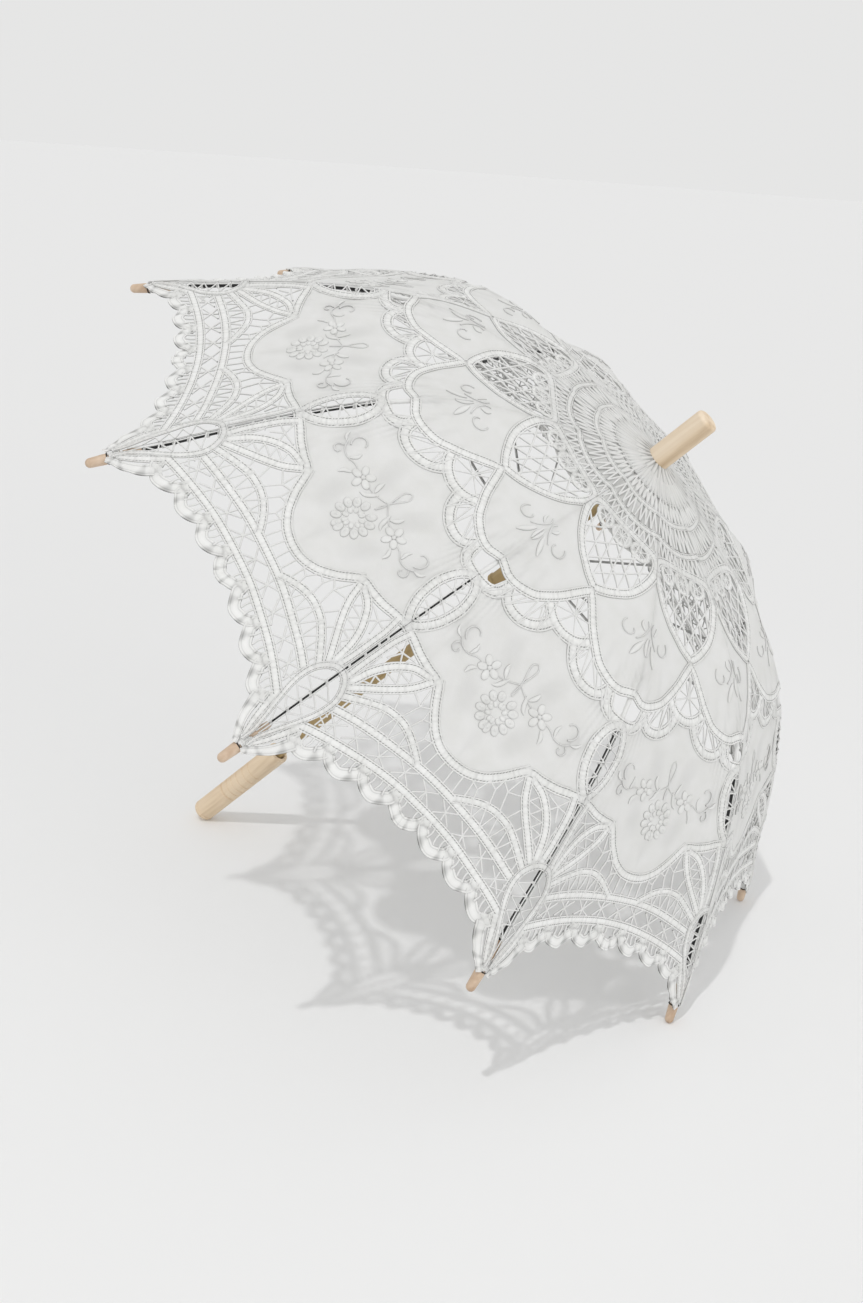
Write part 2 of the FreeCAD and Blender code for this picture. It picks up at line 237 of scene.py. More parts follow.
def tape(drawing, points, width, end_width=None, lift=0.45, ruffle=0.0, stitched=True):
    """Woven tape along a line, puckered or ruffled, with painted shade in its dips. Where
    stitched, it has two rows of dents, painted dark as shade.
    """
    line = within(smooth(points, TAPE_STEP))
    n = normals(line)
    widths = np.linspace(width, end_width or width, len(line))[:, None]
    flat = line[:, None] + n[:, None] * (TAPE_ACROSS * widths / 2)[..., None]
    height = lift + np.tile(TAPE_LIFT, (len(line), 1))
    tone = np.tile(TAPE_PAINTED_SHADING, (len(line), 1))
    s = np.arange(len(line))[:, None]
    if ruffle:
        turn = s / 1.25 + 2.6 * np.sin(s / 5.3) + 1.1 * TAPE_ACROSS * np.sin(s / 2.9)
        fold = np.sin(turn) * (0.45 + 0.55 * np.abs(TAPE_ACROSS + 0.2))
        height += ruffle * fold
        # Painted shade in the low parts of the folds.
        tone += 0.5 * np.minimum(fold + 0.15, 0)
    else:
        pucker = np.sin(s * 1.9 + 3 * np.sin(s / 6.1)) * np.sin(s / 3.7)
        height += 0.2 * pucker * (1 - TAPE_ACROSS ** 2)
        # Painted shade in the dips of the pucker.
        tone += 0.14 * np.minimum(pucker, 0) * (np.abs(TAPE_ACROSS) < 0.9)
    if stitched:
        for column in STITCH_ROWS:
            # Every other point of a stitch row is painted in the full shade colour, as the shade
            # in its dent.
            tone[::2, column] = 0.0
            height[::2, column] -= 0.25
    grid = np.dstack([flat, height])
    drawing.add(grid, grid_faces(len(line), len(TAPE_ACROSS)), tone.ravel())


def thread(drawing, points, radius, lift=0.45):
    """Round thread along a line, with painted shade on its underside."""
    line = smooth(points, THREAD_STEP)
    n = normals(line)
    angles = np.arange(THREAD_SIDES + 1) * 2 * math.pi / THREAD_SIDES
    flat = line[:, None] + n[:, None] * (np.cos(angles) * radius)[None, :, None]
    height = np.tile(lift + np.sin(angles) * radius, (len(line), 1))
    # Painted shade, darker towards the underside.
    tone = np.tile(0.7 + 0.3 * np.sin(angles), (len(line), 1))
    drawing.add(np.dstack([flat, height]), grid_faces(len(line), THREAD_SIDES + 1), tone.ravel())


def threads(drawing, pairs, radius=0.6):
    for a, b in pairs:
        thread(drawing, [a, b], radius)


def zigzag(drawing, first, second, count, radius):
    """Brides that run to and fro between two lines."""
    places = [at_share(first if i % 2 else second, (i + 0.5) / count) for i in range(count)]
    threads(drawing, zip(places, places[1:]), radius)


def spider(drawing, centre, ends, radius=0.6):
    threads(drawing, [(centre, e) for e in ends], radius)
    dome(drawing, centre, 1.3, 1.3, 0, 0.5)


def dome(drawing, centre, a, b, turn, height):
    """Padded satin-stitch oval."""
    n = OVAL_SIDES
    angle = np.arange(n) * 2 * math.pi / n
    rings = [(1, 0), (0.92, 0.45), (0.7, 0.8), (0.35, 0.97), (0.02, 1)]
    c, s = math.cos(turn), math.sin(turn)
    points = [(centre[0] + c * a * q * math.cos(v) - s * b * q * math.sin(v),
               centre[1] + s * a * q * math.cos(v) + c * b * q * math.sin(v),
               OVAL_BASE + height * h) for q, h in rings for v in angle]
    faces = [(i * n + j, i * n + (j + 1) % n, (i + 1) * n + (j + 1) % n, (i + 1) * n + j)
             for i in range(len(rings) - 1) for j in range(n)]
    # Painted shade round the rim of the oval, and a little inside it.
    drawing.add(points, faces, [0.35 if q == 1 else 0.9 if q > 0.9 else 1
                                for q, h in rings for v in angle])


def blade(drawing, points, width, height=0.9):
    """Long raised leaf, pointed at both ends."""
    line = smooth(points, LEAF_STEP)
    n = normals(line)
    share = np.linspace(0, 1, len(line))
    widths = width / 2 * np.sin(math.pi * np.clip(share, 0.03, 0.97)) ** 0.6
    across = np.array([-1, -0.75, -0.3, 0.3, 0.75, 1])
    flat = line[:, None] + n[:, None] * (across * widths[:, None])[..., None]
    up = LEAF_BASE + height * np.sqrt(1 - across ** 2) * np.ones((len(line), 1))
    # Painted shade along both edges of the leaf.
    tone = np.tile([0.4, 0.9, 1, 1, 0.9, 0.4], (len(line), 1))
    drawing.add(np.dstack([flat, up]), grid_faces(len(line), len(across)), tone.ravel())


def inside(points, outline):
    x, y = points.T
    hit = np.zeros(len(points), bool)
    for (ax, ay), (bx, by) in zip(outline, np.roll(outline, -1, axis=0)):
        crosses = (ay > y) != (by > y)
        hit ^= crosses & (x < (bx - ax) * (y - ay) / (by - ay + 1e-12) + ax)
    return hit


def cloth(drawing, outline, spacing, folds, before_shade=1.0):
    """Plain cotton that fills an outline, with painted shade in its creases."""
    outline = np.asarray(outline, float)
    low, high = outline.min(0), outline.max(0)
    gx, gy = np.meshgrid(np.arange(low[0], high[0], spacing), np.arange(low[1], high[1], spacing))
    gx = gx + (np.arange(len(gx)) % 2)[:, None] * spacing / 2
    grid = np.stack([gx.ravel(), gy.ravel()], 1)
    middle = outline.mean(0)
    shrunk = middle + (outline - middle) * 0.985
    grid = grid[inside(grid, shrunk)]
    everything = [Vector(p) for p in outline] + [Vector(p) for p in grid]
    made = delaunay_2d_cdt(everything, [], [list(range(len(outline)))], 1, 1e-4)
    flat = np.array([tuple(v) for v in made[0]])
    lift = folds(flat)
    # The painted shading starts from a given level and is darker in the low parts of the folds.
    drawing.add(np.column_stack([flat, lift]), made[2], before_shade + 0.35 * np.minimum(lift, 0))


def edge(a, b):
    """Straight border, without its last point."""
    n = max(1, int(round(math.dist(a, b) / OUTLINE_STEP)))
    return [(a[0] + (b[0] - a[0]) * i / n, a[1] + (b[1] - a[1]) * i / n) for i in range(n)]


def rib_edge(y_from, y_to):
    """Border along the rib, without its last point."""
    n = max(1, int(round(abs(y_to - y_from) / OUTLINE_STEP)))
    return [R(0, y_from + (y_to - y_from) * i / n) for i in range(n)]


# ---- the lines of the lace --------------------------------------------------------------------
LATTICE = [(-3, 183.5), (6, 178.5), (15, 171.5), (26, 160), (33, 147), (37, 132), (38, 120),
           (36, 110), (30, 104), (18, 101.5), (-3, 101)]
PETAL = [(-3, 184), (3, 190), (8, 197), (17, 210), (25, 219), (33, 226.5), (42, 231),
         (52, 233.5), (60, 233), (66, 230), R(-3, 226.5)]
MID_SCALLOP = [(-3, 232.5), (0, 232.5), (8, 231), (15, 227.5), (21, 222)]
BIG_SCALLOP = [(11, 231), (16, 240), (22, 246), (30, 250), (38, 251), (45, 249.5), (50.5, 245),
               (53.5, 237)]
RIB_SCALLOP = [(53.5, 240), (57, 248), (63, 252.5), (70, 253.5), R(-3, 253)]
EYE = [R(-3, 253.5), R(4, 256), R(10, 264), R(13.5, 275), R(14, 284), R(12.5, 296), R(8, 306),
       R(2, 312.5), R(-3, 313.5)]
LOW_EDGE = [(-3, 361.5), (0, 361.5), (8, 360.8), (15, 359), (22, 355.5), (28, 351), (36, 342),
            (42, 333), (47.5, 325)]
CORNER_EDGE = [(43.5, 330), (50, 326.5), (58, 325.5), (70, 322.5), (80, 318.5), R(-3, 314)]
LEAF_IN = [(50, 330), (57, 342), (67, 353), (79, 364), (95, 378)]
LEAF_OUT = [(52, 329), (66, 332.5), (78, 342), (86.5, 354), (91.5, 366), (96, 378)]
LADDER = [R(7, 318), R(5, 330), R(4.6, 345), R(4.6, 360), R(5.5, 373)]
CRESCENT = [(18, 379.5), (26, 374), (35, 369), (44, 366), (52, 365.5), (62, 367), (72, 371.5),
            (82, 377), (94, 384)]


def upper_arc(x):
    return 380 + 0.0016 * x * x


def lower_arc(x):
    return 400.5 + 0.0017 * x * x


UPPER = [(x, upper_arc(x)) for x in (-3, 0, 15, 30, 45, 60, 75, 93)]
LOWER = [(x, lower_arc(x)) for x in (-3, 0, 15, 30, 45, 60, 75, 88, 100)]
DROP = [R(-3, 370), R(3, 371), R(9, 376), R(14, 385), R(15.5, 395), R(14, 406), R(10.5, 418),
        R(6.5, 430), R(3, 442), R(2.6, 452)]
HEM_ENDS = [-14.5, 14.5, 43, 71.5, 99]


def lobe(start, end, depth):
    share = np.linspace(0, 1, 19)
    x = start + (end - start) * (share + 0.05 * np.sin(2 * math.pi * share))
    return [(a, lower_arc(a) + 3 + depth * math.sin(math.pi * s) ** 0.45)
            for a, s in zip(x, share)]


def ring(centre, radius, start=0.0, end=2 * math.pi):
    return [(centre[0] + radius * math.cos(a), centre[1] + radius * math.sin(a))
            for a in np.linspace(start, end, 17)]


def curl(centre, radius, start, turns):
    """A spiral that shrinks to a share of its radius."""
    share = np.linspace(0, 1, 20)
    angle = start + share * turns * 2 * math.pi
    size = radius * (1 - (1 - CURL_END) * share)
    return np.stack([centre[0] + size * np.cos(angle), centre[1] + size * np.sin(angle)], 1)


def round_band(y_middle, y_rib):
    """A ring round the crown, as it crosses half a gore."""
    shares = np.linspace(0, 1, 7)
    ys = [y_middle + (y_rib - y_middle) * q * q for q in shares]
    line = [(q * float(half(y)), y) for q, y in zip(shares, ys)]
    return [(-3, ys[0])] + line + [(line[-1][0] + 3, ys[-1])]


# ---- draw half a gore -------------------------------------------------------------------------
tapes, brides, plain, stitching = Drawing(), Drawing(), Drawing(), Drawing()


def petal_folds(flat):
    """Soft pleats towards the petal's end, and gathers along the rib."""
    x, y = flat.T
    gap = half(y) - x
    gathers = np.sin(gap / 0.8 + 0.03 * y) * np.exp(-gap / 9) * np.clip((y - 190) / 30, 0, 1)
    return 0.3 * np.sin(x / 2.2) * np.clip((y - 195) / 40, 0, 1) + 0.5 * gathers


def medallion_folds(flat):
    """Gathers where the rib pulls on the cloth, between the scallops and the eye."""
    x, y = flat.T
    gap = half(y) - x
    near = np.exp(-((gap - 17) / 12) ** 2) * np.clip((y - 248) / 5, 0, 1)
    turn = gap / (0.62 + 0.006 * (y - 250))
    broad = 0.35 * np.sin(x / 7 + y / 19) * np.sin(y / 13 - x / 31)
    low = np.exp(-((gap - 9) / 8) ** 2) * np.exp(-((y - 312) / 12) ** 2)
    return (0.62 * np.sin(turn + 1.2 * np.sin(y / 23)) * near * np.exp(-(y - 248) / 34)
            + 0.35 * np.sin(turn * 0.8) * low + broad)


def crown_folds(flat):
    """Pleats of the ground cloth round the crown, kept below the thread work."""
    x, y = flat.T
    return 0.55 * np.sin(x / half(y) * 16) * np.clip((y - 16) / 15, 0, 1) - 0.3


def border(points, cut=0):
    """Curved border as a list of points, without its last ones."""
    line = [tuple(p) for p in smooth(points, OUTLINE_STEP)]
    return line[:len(line) - cut]


medallion = (border(MID_SCALLOP[1:4], 2) + border(BIG_SCALLOP[1:], 1)
             + border(RIB_SCALLOP[1:-1] + [R(0, 253)], 1) + [R(0, 253)]
             + border(EYE[1:-2]) + rib_edge(313, 314.5)
             + border([R(0, 314.5)] + CORNER_EDGE[-2:0:-1])
             + border(LOW_EDGE[1:-1][::-1], 1) + edge((0, 361.5), (0, 232.5)))
cloth(plain, medallion, 1.7, medallion_folds)

petal = (border([(0, 182.5)] + LATTICE[1:6] + [(38, 124)], 1)
         + [(38.2, 123)] + rib_edge(123, 226.5)
         + border([R(0, 226.5)] + PETAL[-2:1:-1] + [(0, 187)], 1)
         + edge((0, 187), (0, 182.5)))
cloth(plain, petal, 2.0, petal_folds)

crown_cloth = (edge((0, 14), R(0, 14)) + rib_edge(14, 97)
               + border(round_band(121, 97)[1:-1][::-1], 1) + edge((0, 121), (0, 14)))
# The ground cloth round the crown is painted darker all over, as the shade behind its thread work.
cloth(plain, crown_cloth, 2.2, crown_folds, 0.8)

for path in (MID_SCALLOP, BIG_SCALLOP, RIB_SCALLOP):
    tape(tapes, path, 10.4, lift=0.35)
tape(tapes, EYE, 8.8, lift=0.5)
for path in (LATTICE, PETAL):
    tape(tapes, path, 8.8, lift=0.75)
for path in (LOW_EDGE, CORNER_EDGE):
    tape(tapes, path, 8.6)
for path in (LEAF_IN, LEAF_OUT, CRESCENT):
    tape(tapes, path, 7.2, lift=0.7)
tape(tapes, LADDER, 6.2, lift=0.9)
for path in (UPPER, LOWER):
    tape(tapes, path, 8.0, lift=0.5)
tape(tapes, DROP, 6.4, 3.0, lift=1.1)
tape(tapes, [(91, 424), (98, 438), (106, 448), R(6, 455), R(4, 458)], 10.5, 4.5, lift=0.5,
     ruffle=0.6, stitched=False)
tape(tapes, [(98, 419), (104, 431), R(8, 441), R(4, 450)], 8.0, 4.0, lift=0.9)
for start, end in zip(HEM_ENDS, HEM_ENDS[1:]):
    tape(tapes, lobe(start, end, 14.0), 9.5, lift=0.4, ruffle=0.9, stitched=False)
for path in (round_band(34, 31), round_band(57, 53), round_band(85, 79)):
    tape(tapes, path, 6.6, lift=0.6)
tape(tapes, [R(0, 84), R(0, 100), R(0, 124)], 6.4, lift=0.5)
tape(tapes, ring((0, 113), 8.5, -math.pi / 2, math.pi / 2), 4.2, lift=0.6, stitched=False)
tape(tapes, ring((20, 112), 8), 4.2, lift=0.6, stitched=False)

# Brides of the crown: zigzags between the rings, and spokes in the small rings.
zigzag(brides, round_band(37, 34)[1:-1], round_band(54, 50)[1:-1], 7, 0.9)
zigzag(brides, round_band(60, 56)[1:-1], round_band(81, 76)[1:-1], 9, 0.95)
zigzag(brides, round_band(88, 82)[1:-1], round_band(100, 97)[1:-1], 11, 0.85)
spider(brides, (20, 112), ring((20, 112), 7, 0.4, 5.9)[::3])
spider(brides, (0, 113), ring((0, 113), 7.5, -1.3, 1.3)[::4])

# Net of the lattice petal.
net = smooth([(0, 179)] + LATTICE[1:7] + [(35, 112)], FINE_STEP)
net_top = net[:76]


def net_edge(x):
    """Lowest point of the petal's inside at a distance from the middle."""
    return float(np.interp(x, net[:, 0], net[:, 1])) - 3


for x in (5.5, 16.5, 27.5):
    thread(brides, [(x, 104 + abs(x - 10) * 0.3), (x + 0.6, net_edge(x))], 0.8)
for start in range(104, 180, 20):
    for slope in (1.15, -1.15):
        xs = np.linspace(0, 34, 35)
        ys = start + slope * xs
        keep = (ys > 121) & (ys < np.interp(xs, net_top[:, 0], net_top[:, 1]) - 1)
        if keep.sum() > 3:
            line = np.stack([xs, ys], 1)[keep]
            thread(brides, [line[0], line[-1]], 0.85)

# The openings of the middle ring.
spider(brides, (0.3, 213), [(6, 199.5), (12, 210), (17.5, 220), (8, 227.5), (1, 196)])
zigzag(brides, beside(BIG_SCALLOP, 4)[4:-4], beside(PETAL, 4)[34:66], 7, 0.65)
zigzag(brides, beside(RIB_SCALLOP, 4)[4:-4], beside(PETAL, 4)[66:84], 5, 0.65)
zigzag(brides, beside(EYE, 4)[6:-6], [R(0, 259), R(0, 309)], 9, 0.6)
threads(brides, [((22, 226), (17, 234)), ((24, 229), (20, 240))])
for line in ([R(1.25, y) for y in (256, 270, 284, 298, 311)],
             [R(1.25, y) for y in (317, 340, 365, 390, 410, 430, 441)]):
    thread(brides, line, 0.5, -0.2)

# Between the medallion, the arcs and the crescents.
threads(brides, [((4, 364), (5, 377.5)), ((13, 363), (14, 377)), ((21, 359), (23, 373.5)),
                 ((30, 352), (27, 363)), ((27, 363), (30, 371)), ((27, 363), (20, 361)),
                 ((38, 343), (37, 354)), ((37, 354), (30, 352)), ((37, 354), (41, 365)),
                 ((47, 335), (45, 349)), ((45, 349), (38, 345)), ((45, 349), (55, 344)),
                 ((45, 349), (50, 363)), ((61, 352), (57, 363)), ((70, 361), (67, 368))], 0.7)
zigzag(brides, part_of(beside(CRESCENT, -3.4), 0.08, 0.95), [(25, 378.5), (88, 389.5)], 13, 0.68)
zigzag(brides, part_of(beside(LEAF_IN, -3.4), 0.14, 0.88),
       part_of(beside(LEAF_OUT, 3.4), 0.18, 0.88), 10, 0.68)
spider(brides, (80, 331), [(69, 329), (84, 321), (88, 331), (86, 341), (76, 338)], 0.7)
zigzag(brides, part_of(beside(LADDER, 3), 0.3, 0.97), [(88, 341), (94, 367)], 6, 0.65)
for x in (0, 21, 42, 63, 81):
    top, low = upper_arc(x) + 4, lower_arc(x) - 4
    middle = (x, (top + low) / 2 + (1.5 if x == 42 else -0.5))
    ends = [(x + 8, top + 0.3), (x + 8, low + 0.4), (x + 1, low)]
    if x:
        ends += [(x - 8, top - 0.3), (x - 8, low - 0.4), (x - 1, top)]
    spider(brides, middle, ends, 0.75)
zigzag(brides, [R(12, 384), R(12.5, 395), R(9, 412), R(5, 428)], [R(1, 380), R(1, 432)], 9, 0.6)
threads(brides, [((88, 392), (91, 410)), ((88, 400), (95, 397)), ((82, 407), (95, 402))])
for start, end in zip(HEM_ENDS, HEM_ENDS[1:]):
    for share in (0.3, 0.5, 0.7):
        x = start + (end - start) * share
        if x > 0:
            bow = 0.6 if share < 0.5 else -0.6
            y = lower_arc(x) + 3
            thread(brides, [(x, y), (x + bow, y + 4), (x - bow, y + 9)], 0.8)
threads(brides, [((101, 421), R(8, 424)), ((105, 431), R(5, 434)), ((110, 441), R(4, 444))], 0.6)

# Embroidery on the plain cotton.
for a in np.arange(12) * math.pi / 6 + 0.13:
    place = (12.8 * math.sin(a), 313 + 12.8 * math.cos(a))
    if place[0] > -0.5:
        dome(stitching, place, 4.3, 3.3, math.pi / 2 - a, 1.2)
        dome(stitching, (place[0] * 0.97, 313 + (place[1] - 313) * 0.97), 2.0, 1.3,
             math.pi / 2 - a, 1.7)
for a in np.arange(9) * math.pi / 4.5 + 0.2:
    place = (6.4 * math.sin(a), 313 + 6.4 * math.cos(a))
    if place[0] > -0.5:
        dome(stitching, place, 2.6, 1.9, math.pi / 2 - a, 1.0)
thread(stitching, [(0, 296), (0.6, 290), (0, 284), (2.6, 274), (3, 268), (0, 265)], 0.7, 0.4)
thread(stitching, [(0, 285), (7, 289), (15, 292), (20, 291)], 0.6, 0.4)
for a in np.arange(5) * 2 * math.pi / 5 + 0.5:
    dome(stitching, (26 + 5.6 * math.cos(a), 293 + 5.6 * math.sin(a)), 4.3, 3.0, a, 1.1)
dome(stitching, (26, 293), 1.8, 1.8, 0, 1.5)
blade(stitching, [(12, 290), (15, 285), (16, 280)], 4.2)
blade(stitching, [(9, 288), (13, 297), (17, 300)], 4.0)
blade(stitching, [(33, 299), (37, 303), (38, 308)], 3.6)
thread(stitching, [(31, 294), (38, 294), (45, 297), (52, 296), (57, 291)], 0.6, 0.4)
thread(stitching, curl((50, 283), 8.0, 1.2, -0.62), 0.75, 0.4)
thread(stitching, curl((54, 300), 4.6, -1.4, 0.8), 0.65, 0.4)
blade(stitching, [(44, 296), (42, 290), (43, 286)], 3.2)
blade(stitching, [(57, 292), (61, 290), (63, 286)], 2.8)
thread(stitching, curl((41, 185), 8.0, -2.4, -0.72), 0.75, 0.4)
thread(stitching, [(49, 189), (53, 182), (54, 173), R(3, 168)], 0.65, 0.4)
blade(stitching, [(55, 187), (53, 196), (51, 204)], 5.2, 1.1)
blade(stitching, [R(1, 182), R(1.5, 190), R(0.5, 197)], 3.2)
blade(stitching, [(52, 178), (48, 174), (47, 170)], 2.6)
for share in (0.0, 0.5, 1.0):
    blade(stitching, [(share * float(half(y)), y) for y in (6, 16, 26, 37)], 5.2, 1.6)
for share in (0.25, 0.75):
    blade(stitching, [(share * float(half(y)), y) for y in (16, 24, 31, 38)], 4.2, 1.2)
for share in (0.12, 0.37, 0.63, 0.88):
    blade(stitching, [(share * float(half(y)), y) for y in (40, 45, 50, 54)], 4.4, 1.0)


# ---- materials --------------------------------------------------------------------------------
def linear(rgb):
    return [c / 12.92 if c < 0.04045 else ((c + 0.055) / 1.055) ** 2.4
            for c in (v / 255 for v in rgb)] + [1.0]


class Nodes:
    """A new material with a Principled shader, and short ways to add nodes to it."""

    def __init__(self, name, roughness):
        self.material = bpy.data.materials.new(name)
        self.material.use_nodes = True
        self.tree = self.material.node_tree
        self.shader = self.tree.nodes["Principled BSDF"]
        self.output = self.tree.nodes["Material Output"]
        self.shader.inputs["Roughness"].default_value = roughness
        self.coordinates = self.add("ShaderNodeTexCoord").outputs["Object"]

    def add(self, kind, **inputs):
        node = self.tree.nodes.new(kind)
        for name, value in inputs.items():
            socket = node.inputs[name.replace("_", " ")]
            if isinstance(value, bpy.types.NodeSocket):
                self.tree.links.new(value, socket)
            else:
                socket.default_value = value
        return node

    def link(self, out, to):
        self.tree.links.new(out, to)

    def noise(self, vector, scale, detail=3.0):
        return self.add("ShaderNodeTexNoise", Vector=vector, Scale=scale, Detail=detail).outputs[0]

    def ramp(self, value, stops):
        node = self.add("ShaderNodeValToRGB", Fac=value)
        elements = node.color_ramp.elements
        for _ in stops[2:]:
            elements.new(0.5)
        for element, (place, rgb) in zip(elements, stops):
            element.position = place
            element.color = linear(rgb)
        return node.outputs[0]

    def bump(self, height, distance, strength):
        node = self.add("ShaderNodeBump", Height=height, Distance=distance, Strength=strength)
        self.link(node.outputs[0], self.shader.inputs["Normal"])


# The colour sockets of a Mix node: its factor, the colours at 0 and 1, and its result.
MIX_FACTOR, MIX_AT_0, MIX_AT_1, MIX_RESULT = 0, 6, 7, 2


def cotton(name, light, dark, shade, weave, see_through):
    """Cotton: soft mottling, painted shade towards its shade colour, a fine weave, light from
    behind.
    """
    m = Nodes(name, 0.85)
    mottle = m.noise(m.coordinates, 60.0)
    before_shade = m.ramp(mottle, [(0.3, dark), (0.7, light)])
    # The painted shading darkens the cloth towards its shade colour where shade is painted.
    tone = m.add("ShaderNodeAttribute")
    tone.attribute_name = "tone"
    mixed = m.add("ShaderNodeMix")
    mixed.data_type = "RGBA"
    m.link(tone.outputs["Fac"], mixed.inputs[MIX_FACTOR])
    mixed.inputs[MIX_AT_0].default_value = linear(shade)
    m.link(before_shade, mixed.inputs[MIX_AT_1])
    colour = mixed.outputs[MIX_RESULT]
    m.link(colour, m.shader.inputs["Base Color"])
    m.shader.inputs["Sheen Weight"].default_value = 0.15
    m.shader.inputs["Specular IOR Level"].default_value = 0.2
    fine = m.noise(m.coordinates, weave, 2.0)
    m.bump(fine, 0.0004, 0.6)
    glow = m.add("ShaderNodeBsdfTranslucent", Color=colour)
    mix = m.add("ShaderNodeMixShader", Fac=see_through)
    m.link(m.shader.outputs[0], mix.inputs[1])
    m.link(glow.outputs[0], mix.inputs[2])
    m.link(mix.outputs[0], m.output.inputs["Surface"])
    return m.material


def wood(name, stops, along_shaft, roughness):
    """Turned wood with its grain along the shaft and fine pores."""
    m = Nodes(name, roughness)
    turned = m.add("ShaderNodeMapping", Vector=m.coordinates)
    turned.inputs["Rotation"].default_value = (0, -math.atan2(DOWN[0], -DOWN[2]), 0)
    stretched = m.add("ShaderNodeMapping", Vector=turned.outputs[0])
    stretched.inputs["Scale"].default_value = (1, 1, 0.07) if along_shaft else (1, 1, 0.5)
    rings = m.noise(stretched.outputs[0], 260.0, 4.0)
    broad = m.noise(stretched.outputs[0], 70.0, 2.0)
    mixed = m.add("ShaderNodeMath", Value=rings)
    mixed.operation = "MULTIPLY_ADD"
    mixed.inputs[1].default_value = 0.55
    m.link(broad, mixed.inputs[2])
    colour = m.ramp(mixed.outputs[0], stops)
    m.link(colour, m.shader.inputs["Base Color"])
    m.shader.inputs["Specular IOR Level"].default_value = 0.35
    pores = m.noise(stretched.outputs[0], 900.0, 2.0)
    m.bump(pores, 0.0003, 0.35)
    return m.material


def steel(name, light, dark, metallic, roughness):
    m = Nodes(name, roughness)
    wear = m.noise(m.coordinates, 180.0)
    m.link(m.ramp(wear, [(0.35, dark), (0.75, light)]), m.shader.inputs["Base Color"])
    m.shader.inputs["Metallic"].default_value = metallic
    m.bump(m.noise(m.coordinates, 700.0), 0.0002, 0.3)
    return m.material


# The third colour of each is the colour that its painted shade darkens towards.
COTTON = cotton("plain_cotton", (239, 239, 238), (234, 234, 232), (150, 150, 147), 1500.0, 0.42)
TAPE = cotton("lace_tape", (248, 248, 247), (241, 241, 239), (70, 70, 67), 1100.0, 0.3)
THREAD = cotton("lace_thread", (247, 247, 246), (240, 240, 238), (84, 84, 81), 2400.0, 0.15)
SILK = cotton("embroidery_thread", (243, 243, 242), (234, 234, 232), (84, 84, 82), 1900.0, 0.25)
PALE_WOOD = wood("pale_wood", [(0.42, (196, 170, 137)), (0.72, (225, 204, 176)),
                               (1.0, (236, 219, 196))], True, 0.5)
SHAFT_WOOD = wood("shaft_wood", [(0.45, (146, 122, 80)), (0.8, (176, 152, 108)),
                                 (1.0, (190, 168, 126))], True, 0.5)
TIP_WOOD = wood("tip_wood", [(0.45, (172, 142, 116)), (0.8, (204, 180, 156)),
                             (1.0, (216, 194, 172))], False, 0.45)
BLACK = steel("black_enamel", (30, 30, 32), (12, 12, 13), 0.0, 0.35)
BRIGHT = steel("bright_steel", (190, 190, 188), (150, 150, 150), 1.0, 0.3)
DARK_CORD = cotton("dark_cord", (58, 50, 46), (34, 30, 28), (20, 18, 17), 1500.0, 0.0)

FINISH = {"shaft": SHAFT_WOOD, "crown": SHAFT_WOOD, "runner": SHAFT_WOOD, "handle": PALE_WOOD,
          "ferrule": PALE_WOOD, "rib_tip": TIP_WOOD, "rib": BLACK}
for name, node in nodes.items():
    kind = name.rstrip("0123456789").rstrip("_")
    finish = FINISH.get(kind, BRIGHT)
    if kind.startswith("canopy"):
        finish = COTTON
    if not node.material_slots:
        node.data.materials.append(finish)
    for place in node.material_slots:
        place.material = finish


# ---- lay the drawings on the parasol ----------------------------------------------------------
def build(name, points, faces, material, tones=1.0):
    mesh = bpy.data.meshes.new(name)
    mesh.from_pydata(points.tolist(), [], faces)
    tone = mesh.attributes.new("tone", "FLOAT", "POINT")
    tone.data.foreach_set("value", np.broadcast_to(tones, len(points)).astype(np.float32))
    mesh.polygons.foreach_set("use_smooth", [True] * len(mesh.polygons))
    mesh.materials.append(material)
    made = bpy.data.objects.new(name, mesh)
    bpy.context.scene.collection.objects.link(made)
    return made


def both_halves(drawing, k):
    flat = np.vstack(drawing.points)
    left, right = to_space(flat, k, 1), to_space(flat, k, -1)
    mirrored = [[i + drawing.count for i in reversed(f)] for f in drawing.faces]
    tones = np.concatenate(drawing.tones)
    return np.vstack([left, right]), drawing.faces + mirrored, np.tile(tones, 2)


def weld(made):
    """Join the points that neighbouring strips share."""
    bm = bmesh.new()
    bm.from_mesh(made.data)
    bmesh.ops.remove_doubles(bm, verts=bm.verts, dist=2e-5)
    bm.to_mesh(made.data)
    bm.free()


def round_tube(line, radius):
    """Points and faces of a tube along a line in space."""
    line = np.asarray(line, float)
    d = np.gradient(line, axis=0)
    d /= np.linalg.norm(d, axis=1)[:, None]
    first = np.cross(d, SIDE + 0.31 * SHAFT)
    first /= np.linalg.norm(first, axis=1)[:, None]
    second = np.cross(d, first)
    angles = np.arange(TUBE_SIDES + 1) * 2 * math.pi / TUBE_SIDES
    grid = (line[:, None] + radius * (np.cos(angles)[None, :, None] * first[:, None]
                                      + np.sin(angles)[None, :, None] * second[:, None]))
    return grid.reshape(-1, 3), grid_faces(len(line), TUBE_SIDES + 1)


def round_rib(k, y, angle, radius):
    """Points at a radius round the rib's own wire. Millimetres."""
    y = np.asarray(y, float)
    out, sideways = radial(rib_angle(k)), tangential(rib_angle(k))
    r, z = along(WIRE, y).T
    nr, nz = along(ABOVE, y).T
    centre = HANDLE_END + r[:, None] * out + z[:, None] * SHAFT
    up = nr[:, None] * out + nz[:, None] * SHAFT
    return centre + radius * (np.cos(angle)[:, None] * up + np.sin(angle)[:, None] * sideways)


def together(parts):
    points, faces, count = [], [], 0
    for p, f in parts:
        points.append(p)
        faces += [[i + count for i in q] for q in f]
        count += len(p)
    return np.vstack(points), faces


